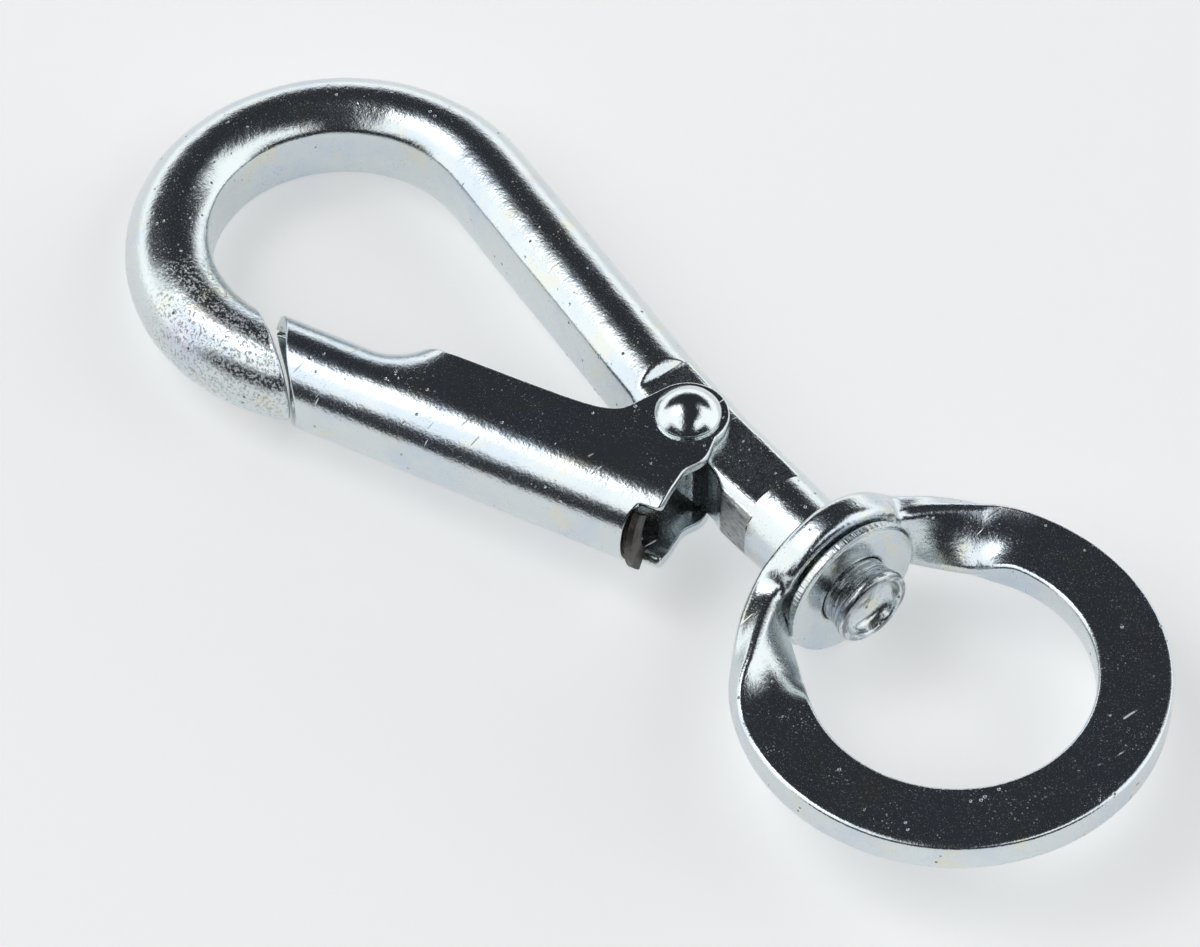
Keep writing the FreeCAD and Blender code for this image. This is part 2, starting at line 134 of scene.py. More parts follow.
def resample(points, step, closed=False):
    """Adds points along a polyline so that none of its spans is longer than step."""
    out = []
    count = len(points)
    for i in range(count if closed else count - 1):
        a = points[i]
        b = points[(i + 1) % count]
        parts = max(1, int(math.ceil(np.linalg.norm(b - a) / step)))
        for k in range(parts):
            out.append(a + (b - a) * k / parts)
    if not closed:
        out.append(points[-1])
    return np.array(out)


def lathe(profile, around, place):
    """A turned shape: profile is (along, radius), place(along, radius, angle) gives the point."""
    angles = np.linspace(0, 2 * math.pi, around, endpoint=False)
    return np.array([[place(a, r, t) for t in angles] for a, r in profile])


def wave(a, b, seed):
    """A smooth unevenness from -1 to 1 over two coordinates."""
    p = seed * 1.7
    return (
        np.sin(a * 0.31 + 1.3 * np.sin(b * 0.9 + p) + p)
        + 0.6 * np.sin(a * 0.83 - b * 1.7 + 2.1 * p)
        + 0.4 * np.sin(a * 1.71 + b * 2.3 + 3.3 * p)
    ) / 2.0


# ---------------------------------------------------------------- hook body

ARM_TURN = math.atan2(STUD_Y, PIVOT[0]) + math.acos(BOW / math.hypot(PIVOT[0], STUD_Y))


def gate_place(along, out):
    """A place in the gate's directions, measured from the pivot."""
    c, s = math.cos(LEAN), math.sin(LEAN)
    return np.array([PIVOT[0] - along * c + out * s, PIVOT[1] - along * s - out * c])


def soft_least(*limits, power=44.0):
    """The least of several radii, with the corners between them slightly rounded."""
    total = sum(np.power(np.maximum(limit, 1e-3), -power) for limit in limits)
    return np.power(total, -1.0 / power)


def bar_radius(theta, round_r, inner, height):
    """The section's radius: a circle cut flat on its inner side and at top and bottom."""
    c, s = np.cos(theta), np.sin(theta)
    flat = np.where(c < -0.05, inner / np.maximum(-c, 0.05), 99.0)
    level = np.where(np.abs(s) > 0.05, height / np.maximum(np.abs(s), 0.05), 99.0)
    return soft_least(np.full_like(theta, round_r), flat, level)


def nose_turn(radius):
    """Where round the bow a circle of this radius meets the nose's slanted face."""
    a = gate_place(49.4, 1.6)
    b = gate_place(33.6, 17.2)
    across = np.array([b[1] - a[1], a[0] - b[0]])
    across /= np.linalg.norm(across)
    reach = float(across @ a)
    turn = math.atan2(across[1], across[0])
    opening = np.arccos(np.clip(reach / radius, -1, 1))
    low = (turn - opening) % (2 * math.pi)
    high = (turn + opening) % (2 * math.pi)
    aim = math.radians(296)
    return np.where(np.abs(low - aim) < np.abs(high - aim), low, high)


def hook_rings():
    around = 176
    theta = np.linspace(0, 2 * math.pi, around, endpoint=False)
    rings = []
    start = math.radians(248)

    def bow_point(turn, u, z):
        r = BOW + u
        return np.stack([r * np.cos(turn), r * np.sin(turn), z], axis=-1)

    radius = bar_radius(theta, BAR, 3.85, 99.0)
    u = radius * np.cos(theta)
    z = radius * np.sin(theta)
    # The slanted face, from its middle out to its rounded rim.
    for k in (0.03, 0.2, 0.4, 0.6, 0.8, 0.9, 0.945):
        rings.append(bow_point(nose_turn(BOW + u * k), u * k, z * k))
    rim = 0.42
    for turn in (20, 40, 60, 78):
        t = math.radians(turn)
        k = 1.0 - rim * (1 - math.sin(t)) / BAR
        drop = rim * (1 - math.cos(t))
        rings.append(bow_point(nose_turn(BOW + u * k) - drop / (BOW + u * k), u * k, z * k))
    end = nose_turn(BOW + u) - rim / (BOW + u)
    for t in np.linspace(0, 1, 56)[:-1]:
        turn = end + (start - end) * t
        swell = 0.9935 + 0.006 * wave(turn * 17, theta, 1.0)
        rings.append(bow_point(turn, u * swell, z * swell))
    for turn in np.linspace(start, ARM_TURN, 150)[:-1]:
        swell = 0.9935 + 0.006 * wave(turn * 17, theta, 1.0)
        rings.append(bow_point(np.full(around, turn), u * swell, z * swell))

    # The arm and the shank: places along x with their own direction.
    arm_dir = np.array([math.sin(ARM_TURN), -math.cos(ARM_TURN)])
    arm_start = BOW * np.array([math.cos(ARM_TURN), math.sin(ARM_TURN)])
    bend_low, bend_high = 37.0, 46.0
    scoop_x = [43.6, 44.1, 44.8, 45.6, 46.5, 47.4, 48.4, 49.3, 50.1, 50.5, 50.75, 53.0, 54.6, 54.75, 57.0]
    scoop_d = [5.20, 4.60, 3.98, 3.46, 3.14, 3.06, 3.16, 3.42, 3.84, 4.02, 4.06, 4.16, 4.24, 4.60, 5.30]
    stations = list(np.arange(arm_start[0], 32.0, 0.45)) + list(np.arange(32.0, 60.0, 0.16))
    stations += [FLAT_END - 0.005, FLAT_END + 0.005, FLAT_END + 0.025, 60.0, 60.1]
    stations.sort()
    for x in stations:
        if x < bend_low:
            run = (x - arm_start[0]) / arm_dir[0]
            centre = arm_start + arm_dir * run
            lean = ARM_TURN
        elif x < bend_high:
            t = (x - bend_low) / (bend_high - bend_low)
            knee = np.array([PIVOT[0], STUD_Y])
            low = knee + arm_dir * ((bend_low - knee[0]) / arm_dir[0])
            centre = (1 - t) ** 2 * low + 2 * t * (1 - t) * knee + t * t * np.array([bend_high, STUD_Y])
            lean = ARM_TURN + (math.pi / 2 - ARM_TURN) * t
        else:
            centre = np.array([x, STUD_Y])
            lean = math.pi / 2
        round_r = BAR + 0.15 * float(ease(x, 33, 40)) - 0.2 * float(ease(x, 46, 60))
        inner = 3.85 + 1.6 * float(ease(x, 35.0, 42.0))
        if x > 43.0:
            inner = float(np.interp(x, scoop_x, scoop_d, left=5.45, right=5.6))
        height = FLAT_HEIGHT + max(FLAT_START - x, 0.0) * 0.85 + max(x - FLAT_END, 0.0) * 45.0
        r = bar_radius(theta, round_r, inner, height)
        swell = 0.994 + 0.005 * wave(x, theta, 2.0)
        uu = r * np.cos(theta) * swell
        zz = r * np.sin(theta) * swell
        if FLAT_START < x < FLAT_END:
            zz = np.clip(zz, -FLAT_HEIGHT, FLAT_HEIGHT)
        out = np.array([math.cos(lean), math.sin(lean)])
        rings.append(np.stack([centre[0] + uu * out[0], centre[1] + uu * out[1], zz], axis=-1))

    # Shoulder, stud and the flared, cupped tip.
    profile = soften([
        (60.15, 4.78), (60.5, 4.4, 0.1), (60.5, 3.75, 0.12), (67.3, 3.75, 0.7), (68.5, 4.2, 0.35),
        (69.1, 3.95, 0.3), (69.1, 3.35, 0.3), (67.8, 2.9, 0.6), (67.35, 1.5, 0.5), (67.3, 0.05),
    ], 0.3, 6)
    profile = resample(profile, 0.3)
    for along, r in profile:
        rough = 1.0
        if 66.2 < along and r > 3.2:
            rough = 1.0 + 0.010 * wave(along * 9, theta * 3.0, 4.0)
        uu = r * np.cos(theta) * rough
        zz = r * np.sin(theta) * rough
        rings.append(np.stack([np.full(around, along), STUD_Y + uu, zz], axis=-1))
    return np.array(rings)


def make_hook():
    points, faces = skin(hook_rings())
    return mesh_piece("hook_forging", points, faces, "hook", "hook_body", 48)


# ---------------------------------------------------------------- gate

def gate_radius(s):
    return CHANNEL_R - 0.27 * ease(s, 22, 33)


def gate_surface(s, t, depth):
    """The folded sheet: s along the gate, t across it from the floor's middle, depth into the sheet."""
    s = np.asarray(s, float)
    t = np.asarray(t, float)
    side = np.sign(t)
    radius = gate_radius(s)
    centre = CHANNEL_N + CHANNEL_R - radius
    quarter = radius * math.pi / 2
    run = np.abs(t)
    beta = np.minimum(run, quarter) / radius
    leg = np.maximum(run - quarter, 0.0)
    roll = ease(s, 23.6, 32.2) / radius
    roll = np.maximum(roll, 1e-4)
    turned = roll * leg
    n = np.where(run <= quarter, centre + radius * np.cos(beta), centre - np.sin(turned) / roll)
    z = np.where(run <= quarter, radius * np.sin(beta), radius - (1 - np.cos(turned)) / roll)
    facing = np.where(run <= quarter, beta, math.pi / 2 + turned)
    n = n - depth * np.cos(facing)
    z = z - depth * np.sin(facing)
    return s, n, side * z


def gate_outline():
    """Flat pattern of the sheet, one half, from the floor's lower end round to the floor's tip end."""
    def cheek(n):
        return CHANNEL_R * math.pi / 2 + CHANNEL_N - n

    def floor(n):
        return CHANNEL_R * math.acos(min(1.0, (n - CHANNEL_N) / CHANNEL_R))

    ear_radius = 3.95
    turns = np.radians(np.arange(158, 334, 6.0))
    ear = [(ear_radius * math.cos(a), cheek(ear_radius * math.sin(a)), 0) for a in turns]
    lower = [
        (0.15, 0.0, 0), (0.15, 2.2, 0.5), (0.0, floor(12.8), 0.5), (-0.6, floor(11.7), 0.3),
        (-2.75, floor(11.6), 0.5), (-2.8, cheek(6.4), 0.7), (-4.1, cheek(4.4), 1.0),
    ]
    top = [
        (5.9, cheek(2.3), 1.6), (7.6, cheek(3.15), 1.2), (10.5, cheek(3.55), 1.5),
        (15.0, cheek(3.7), 2.0), (23.0, cheek(3.85), 1.5),
    ]
    pattern = list(soften(lower + ear + top, 0.4, 6))
    cheek_edge = CHANNEL_R
    seam_gap = 0.55
    for s in np.arange(24.0, GATE_END, 0.5):
        radius = float(gate_radius(s))
        share = float(ease(s, 23.6, 32.2))
        leg = cheek_edge + share * (radius * math.pi / 2 - seam_gap - cheek_edge)
        pattern.append(np.array([s, radius * math.pi / 2 + leg]))
    longest = float(gate_radius(GATE_END)) * math.pi - seam_gap
    pattern.append(np.array([GATE_END + 0.15, longest - 0.1]))
    for t in np.linspace(longest - 0.4, 0.0, 34):
        n = float(gate_surface(GATE_END, t, 0.0)[1])
        lean = (n - GATE_TIP) / (CHANNEL_N + CHANNEL_R - GATE_TIP)
        end = GATE_END + 0.3 - 7.2 * lean - 0.35 * math.sin(math.pi * lean * 2)
        pattern.append(np.array([end, t]))
    return np.array(pattern)


def inset(loop, distance):
    """Moves each point of a counter-clockwise loop inwards."""
    before = np.roll(loop, 1, axis=0)
    after = np.roll(loop, -1, axis=0)
    along = after - before
    along /= np.linalg.norm(along, axis=1)[:, None]
    inward = np.stack([-along[:, 1], along[:, 0]], axis=1)
    return loop + inward * distance


def inside(points, loop):
    """Which points lie inside a loop."""
    found = np.zeros(len(points), bool)
    x, y = points[:, 0], points[:, 1]
    for (ax, ay), (bx, by) in zip(loop, np.roll(loop, -1, axis=0)):
        if ay == by:
            continue
        crossing = (ay > y) != (by > y)
        found ^= crossing & (x < (bx - ax) * (y - ay) / (by - ay) + ax)
    return found


def make_gate():
    """The folded sheet: its flat pattern filled with triangles, given a thickness and folded."""
    half = gate_outline()
    other = half[::-1][1:-1].copy()
    other[:, 1] *= -1
    loop = resample(np.vstack([half, other]), 0.4, closed=True)
    area = 0.5 * np.sum(loop[:, 0] * np.roll(loop[:, 1], -1) - loop[:, 1] * np.roll(loop[:, 0], -1))
    if area < 0:
        loop = loop[::-1]
    near = inset(loop, 0.14)
    safe = inset(loop, 0.34)
    along, across = np.meshgrid(np.arange(-4.6, 43.4, 0.42), np.arange(-22, 22.01, 0.42))
    grid = np.stack([along, across], axis=-1).reshape(-1, 2)
    grid = grid[inside(grid, safe)]
    count = len(loop)
    flat = [Vector(p) for p in np.vstack([loop, near, grid])]
    edges = [(i, (i + 1) % count) for i in range(count)]
    filled = delaunay_2d_cdt(flat, edges, [], 1, 1e-6)
    points, triangles, origin = filled[0], filled[2], filled[3]
    sheet = np.array([tuple(p) for p in points])
    rim = {}
    for new, sources in enumerate(origin):
        for source in sources:
            if source < count:
                rim[source] = new
    size = len(sheet)
    outer = np.stack(gate_surface(sheet[:, 0], sheet[:, 1], 0.0), axis=-1)
    inner = np.stack(gate_surface(sheet[:, 0], sheet[:, 1], SHEET), axis=-1)
    blocks = [outer, inner]
    faces = []
    for a, b, c in triangles:
        faces.append((a, b, c))
        faces.append((size + c, size + b, size + a))
    layers = [[rim[i] for i in range(count)]]
    place = 2 * size
    for depth, bulge in ((0.08, 0.09), (0.28, 0.15), (0.87, 0.15), (1.07, 0.09)):
        spread = inset(loop, -bulge)
        blocks.append(np.stack(gate_surface(spread[:, 0], spread[:, 1], depth), axis=-1))
        layers.append(list(range(place, place + count)))
        place += count
    layers.append([size + rim[i] for i in range(count)])
    for first, second in zip(layers, layers[1:]):
        for i in range(count):
            j = (i + 1) % count
            faces.append((first[j], first[i], second[i], second[j]))
    local = np.vstack(blocks)
    c, s = math.cos(LEAN), math.sin(LEAN)
    world = np.stack([
        PIVOT[0] - local[:, 0] * c + local[:, 1] * s,
        PIVOT[1] - local[:, 0] * s - local[:, 1] * c,
        local[:, 2],
    ], axis=-1)
    return mesh_piece("gate_sheet", world, faces, "keeper", "gate", 50)


# ---------------------------------------------------------------- turned pieces

def grown_piece(name, build, sizes, material, body, node):
    """A piece that a Geometry Nodes tree makes from named sizes in millimetres."""
    tree = bpy.data.node_groups.new(name, "GeometryNodeTree")
    keys = {}
    for label in sizes:
        socket = tree.interface.new_socket(label, in_out="INPUT", socket_type="NodeSocketFloat")
        keys[label] = socket.identifier
    tree.interface.new_socket("Geometry", in_out="OUTPUT", socket_type="NodeSocketGeometry")
    given = tree.nodes.new("NodeGroupInput")
    shape = build(tree, {label: Wire(tree, given.outputs[label]) for label in sizes})
    whole = add_node(tree, "GeometryNodeRealizeInstances", 0, {}, {0: shape})
    coated = add_node(tree, "GeometryNodeSetMaterial", 0, {}, {"Geometry": whole, "Material": material})
    plug(tree, tree.nodes.new("NodeGroupOutput").inputs[0], coated)
    piece = bpy.data.objects.new(name, bpy.data.meshes.new(name + "_seed"))
    bpy.context.scene.collection.objects.link(piece)
    modifier = piece.modifiers.new("shape", "NODES")
    modifier.node_group = tree
    for label, size in sizes.items():
        modifier[keys[label]] = float(size)
    made = piece.evaluated_get(bpy.context.evaluated_depsgraph_get())
    mesh = bpy.data.meshes.new_from_object(made)
    piece.modifiers.remove(modifier)
    piece.data = mesh
    mesh.name = name
    mesh.shade_smooth()
    mesh.set_sharp_from_angle(angle=math.radians(50))
    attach(piece, body)
    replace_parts(piece, node)
    return piece


def rivet_tree(tree, sizes):
    """Two domed heads, one turned over, on the ends of a plain shank."""
    reach, rim, ball = sizes["Sheet face"], sizes["Head radius"], sizes["Dome radius"]
    edge = sizes["Head edge"]
    blank = add_node(tree, "GeometryNodeMeshCylinder", "Mesh", {"fill_type": "TRIANGLE_FAN"}, {
        "Vertices": 72, "Side Segments": 2, "Fill Segments": 24, "Radius": rim, "Depth": edge,
    })
    place = add_node(tree, "GeometryNodeInputPosition", 0, {}, {})
    x, y, z = [add_node(tree, "ShaderNodeSeparateXYZ", axis, {}, {0: place}) for axis in ("X", "Y", "Z")]
    rise = (ball * ball - x * x - y * y).math("SQRT") - (ball * ball - rim * rim).math("SQRT")
    rise = rise * z.math("GREATER_THAN", edge * 0.49)
    lift = add_node(tree, "ShaderNodeCombineXYZ", 0, {}, {"Z": rise})
    head = add_node(tree, "GeometryNodeSetPosition", 0, {}, {"Geometry": blank, "Offset": lift})
    middle = reach + edge * 0.5
    low = add_node(tree, "ShaderNodeCombineXYZ", 0, {}, {"Z": middle * -1.0})
    step = add_node(tree, "ShaderNodeCombineXYZ", 0, {}, {"Z": middle * 2.0})
    ends = add_node(tree, "GeometryNodeMeshLine", 0, {"mode": "OFFSET"}, {
        "Count": 2, "Start Location": low, "Offset": step,
    })
    order = add_node(tree, "GeometryNodeInputIndex", 0, {}, {})
    turn = add_node(tree, "ShaderNodeCombineXYZ", 0, {}, {"X": (1.0 - order) * math.pi})
    heads = add_node(tree, "GeometryNodeInstanceOnPoints", 0, {}, {
        "Points": ends, "Instance": head, "Rotation": turn,
    })
    shank = add_node(tree, "GeometryNodeMeshCylinder", "Mesh", {"fill_type": "TRIANGLE_FAN"}, {
        "Vertices": 72, "Radius": sizes["Shank radius"], "Depth": reach * 2.0 + edge,
    })
    both = add_node(tree, "GeometryNodeJoinGeometry", 0, {}, {0: heads})
    plug(tree, both.socket.node.inputs[0], shank)
    return add_node(tree, "GeometryNodeTransform", 0, {}, {
        "Geometry": both, "Translation": (PIVOT[0] * MM, PIVOT[1] * MM, 0.0), "Scale": (MM, MM, MM),
    })


def make_rivet(material):
    sizes = {
        "Sheet face": 5.27, "Head radius": 3.33, "Dome radius": 3.98,
        "Head edge": 0.3, "Shank radius": 1.78,
    }
    return grown_piece(
        "rivet_domed", rivet_tree, sizes, material, "keeper", "pivot_rivet"
    )


def washer_tree(tree, sizes):
    """A rounded rectangle carried round a circle, then set square to the stud."""
    bore, rim, thick = sizes["Bore radius"], sizes["Rim radius"], sizes["Thickness"]
    outline = add_node(tree, "GeometryNodeCurvePrimitiveQuadrilateral", 0, {"mode": "RECTANGLE"}, {
        "Width": rim - bore, "Height": thick,
    })
    section = add_node(tree, "GeometryNodeFilletCurve", 0, {"mode": "POLY"}, {
        "Curve": outline, "Count": 7, "Radius": sizes["Edge round"],
    })
    path = add_node(tree, "GeometryNodeCurvePrimitiveCircle", 0, {"mode": "RADIUS"}, {
        "Resolution": 144, "Radius": (rim + bore) * 0.5,
    })
    swept = add_node(tree, "GeometryNodeCurveToMesh", 0, {}, {"Curve": path, "Profile Curve": section})
    along = add_node(tree, "ShaderNodeCombineXYZ", 0, {}, {
        "X": (sizes["Back face"] + thick * 0.5) * MM, "Y": STUD_Y * MM,
    })
    return add_node(tree, "GeometryNodeTransform", 0, {}, {
        "Geometry": swept, "Translation": along, "Rotation": (0.0, math.pi / 2, 0.0), "Scale": (MM, MM, MM),
    })


def make_washer(material):
    sizes = {
        "Bore radius": STUD_HOLE, "Rim radius": 7.6, "Thickness": 1.25,
        "Edge round": 0.4, "Back face": 64.7,
    }
    return grown_piece(
        "washer_stamped", washer_tree, sizes, material, "washer", "swivel_washer"
    )


# ---------------------------------------------------------------- ring eye

def ring_section(width, thickness, corner):
    """A rounded rectangle with the same number of points for any size."""
    w, h = width / 2, thickness / 2
    points = []
    x, y = w - corner, h - corner
    for cx, cy, start in ((x, y, 0), (-x, y, 90), (-x, -y, 180), (x, -y, 270)):
        for a in np.radians(start + np.linspace(0, 90, 7)):
            points.append((cx + corner * math.cos(a), cy + corner * math.sin(a)))
    filled = []
    for i, p in enumerate(points):
        q = points[(i + 1) % len(points)]
        filled.append(p)
        if i % 7 == 6:
            parts = 9 if (i // 7) % 2 == 0 else 4
            for k in range(1, parts):
                filled.append((p[0] + (q[0] - p[0]) * k / parts, p[1] + (q[1] - p[1]) * k / parts))
    return np.array(filled)


def head_path(dy):
    """How far along x the head and straps lie, at a distance from the stud's axis."""
    dy = abs(dy)
    flat, joined = 6.6, STRAP_JOIN
    if dy <= flat:
        return HEAD_X
    far = RING_X - math.sqrt(RING_R ** 2 - joined ** 2)
    slope = joined / math.sqrt(RING_R ** 2 - joined ** 2)
    t = (dy - flat) / (joined - flat)
    rise = far - HEAD_X
    return HEAD_X + (3 * t * t - 2 * t ** 3) * rise + (t ** 3 - t * t) * slope * (joined - flat)


def head_half(dy, strap):
    """Half the head's height at a distance from the stud: a disc that flows into the straps."""
    disc, fillet = 8.52, 2.2
    along = math.sqrt((disc + fillet) ** 2 - (strap + fillet) ** 2)
    if dy < along * disc / (disc + fillet):
        return math.sqrt(disc ** 2 - dy ** 2)
    if dy < along:
        return strap + fillet - math.sqrt(fillet ** 2 - (along - dy) ** 2)
    return strap


def make_ring():
    """One section carried round the head and the ring, turned a quarter between them."""
    centres = []
    for dy in np.arange(0.0, STRAP_JOIN, 0.22):
        centres.append((head_path(dy), dy))
    start = math.asin(STRAP_JOIN / RING_R)
    for a in np.linspace(start, math.pi, 190):
        centres.append((RING_X - RING_R * math.cos(a), RING_R * math.sin(a)))
    half = np.array(centres)
    other = half[::-1][1:-1] * np.array([1.0, -1.0])
    path = np.vstack([half, other])
    ahead = np.roll(path, -1, axis=0) - np.roll(path, 1, axis=0)
    ahead /= np.linalg.norm(ahead, axis=1)[:, None]
    out = np.stack([-ahead[:, 1], ahead[:, 0]], axis=1)
    rings = []
    for (x, dy), normal in zip(path, out):
        away = abs(dy) if x < RING_X else 99.0
        if x < RING_X and abs(dy) >= STRAP_JOIN:
            away = STRAP_JOIN + RING_R * (math.asin(min(1.0, abs(dy) / RING_R)) - start)
        twist = math.pi / 2 * (1.0 - float(ease(away, 5.6, 19.5)))
        width = 7.3 - 0.5 * (1.0 - float(ease(away, 8.0, 20.0)))
        if away < 9.4:
            width = 2.0 * head_half(abs(dy), width / 2)
        thick = 3.5 + 0.1 * (1.0 - float(ease(away, 6.0, 9.0)))
        corner = 0.5 + 0.55 * (1.0 - float(ease(away, 9.0, 19.0)))
        section = ring_section(width, thick, corner)
        c, s = math.cos(twist), math.sin(twist)
        wide = np.array([normal[0] * c, normal[1] * c, s])
        high = np.array([-normal[0] * s, -normal[1] * s, c])
        swell = 0.9955 + 0.004 * wave(x + dy * 0.7, section[:, 0], 5.0)[:, None]
        flat = section * swell
        middle = np.array([x, STUD_Y + dy, 0.0])
        rings.append(middle + flat[:, :1] * wide + flat[:, 1:] * high)
    points, faces = skin(np.array(rings), closed=True)
    faces = [f[::-1] for f in faces]
    piece = mesh_piece("eye_forged", points, faces, "eye", "ring_eye", 48)
    mark_bore(piece, HEAD_X, STUD_HOLE)
    return piece


def mark_bore(piece, x, radius):
    """Marks the stud's hole on the head. The cutter faces inwards, so the hole stays closed."""
    profile = [(x - 6, 0.02), (x - 6, radius), (x + 6, radius), (x + 6, 0.02)]
    rings = lathe(profile, 96, lambda a, r, t: (a, STUD_Y + r * math.cos(t), r * math.sin(t)))
    points, faces = skin(rings[::-1])
    mesh = bpy.data.meshes.new("bore_cutter")
    mesh.from_pydata([tuple(p) for p in points * MM], [], faces)
    cutter = bpy.data.objects.new("bore_cutter", mesh)
    bpy.context.scene.collection.objects.link(cutter)
    cut = piece.modifiers.new("bore", "BOOLEAN")
    cut.operation = "DIFFERENCE"
    cut.solver = "EXACT"
    cut.object = cutter
    graph = bpy.context.evaluated_depsgraph_get()
    bored = bpy.data.meshes.new_from_object(piece.evaluated_get(graph))
    piece.modifiers.remove(cut)
    piece.data = bored
    bored.shade_smooth()
    bored.set_sharp_from_angle(angle=math.radians(48))
    bpy.data.objects.remove(cutter)


# ---------------------------------------------------------------- shading

class Wire:
    """One output of a node tree. Arithmetic on it adds Math nodes."""

    def __init__(self, tree, socket):
        self.tree = tree
        self.socket = socket

    def math(self, kind, *others):
        inputs = dict(enumerate((self,) + others))
        return add_node(self.tree, "ShaderNodeMath", 0, {"operation": kind}, inputs)

    def __add__(self, other):
        return self.math("ADD", other)

    def __sub__(self, other):
        return self.math("SUBTRACT", other)

    def __mul__(self, other):
        return self.math("MULTIPLY", other)

    def __truediv__(self, other):
        return self.math("DIVIDE", other)

    def __rsub__(self, other):
        return (self * -1.0).math("ADD", other)

    def __pow__(self, other):
        return self.math("POWER", other)

    __radd__ = __add__
    __rmul__ = __mul__

    def above(self, low, high):
        """0 at low and 1 at high, smooth between."""
        return add_node(self.tree, "ShaderNodeMapRange", "Result", {"interpolation_type": "SMOOTHSTEP"}, {
            "Value": self, "From Min": low, "From Max": high,
        })


def plug(tree, port, value):
    """Links a socket to a wire, or sets its value."""
    if isinstance(value, Wire):
        tree.links.new(value.socket, port)
    else:
        port.default_value = value


def add_node(tree, kind, output, settings, inputs):
    """Adds any node: its settings first, then the values or links of its sockets."""
    node = tree.nodes.new(kind)
    for key, value in settings.items():
        setattr(node, key, value)
    for key, value in inputs.items():
        plug(tree, node.inputs[key], value)
    return Wire(tree, node.outputs[output])


def mix_colours(tree, share, first, second):
    return add_node(tree, "ShaderNodeMix", 2, {"data_type": "RGBA"}, {0: share, 6: first, 7: second})


class Finish:
    """A material being built: adds nodes and joins them to the surface."""

    def __init__(self, name):
        self.material = bpy.data.materials.new(name)
        self.material.use_nodes = True
        self.tree = self.material.node_tree
        self.surface = self.tree.nodes["Principled BSDF"]
        self.place = self.add("ShaderNodeTexCoord", "Object", {}, {})

    def axes(self):
        """The three coordinates, in metres."""
        return [self.add("ShaderNodeSeparateXYZ", axis, {}, {0: self.place}) for axis in ("X", "Y", "Z")]

    def add(self, kind, output, settings, inputs):
        return add_node(self.tree, kind, output, settings, inputs)

    def stretch(self, scale, turn=(0, 0, 0)):
        return self.add("ShaderNodeMapping", "Vector", {}, {
            "Vector": self.place, "Scale": scale, "Rotation": turn,
        })

    def noise(self, scale, detail=3.0, rough=0.55, vector=None, distortion=0.0):
        return self.add("ShaderNodeTexNoise", "Fac", {"noise_dimensions": "3D"}, {
            "Vector": vector or self.place, "Scale": scale, "Detail": detail,
            "Roughness": rough, "Distortion": distortion,
        })

    def cells(self, scale, vector=None):
        return self.add("ShaderNodeTexVoronoi", "Distance", {"feature": "F1"}, {
            "Vector": vector or self.place, "Scale": scale,
        })

    def blend(self, share, first, second):
        return mix_colours(self.tree, share, first, second)

    def bump(self, height, strength, distance):
        return self.add("ShaderNodeBump", "Normal", {}, {
            "Strength": strength, "Distance": distance, "Height": height,
        })

    def put(self, name, value):
        plug(self.tree, self.surface.inputs[name], value)


def rgb(r, g, b):
    return (r, g, b, 1.0)


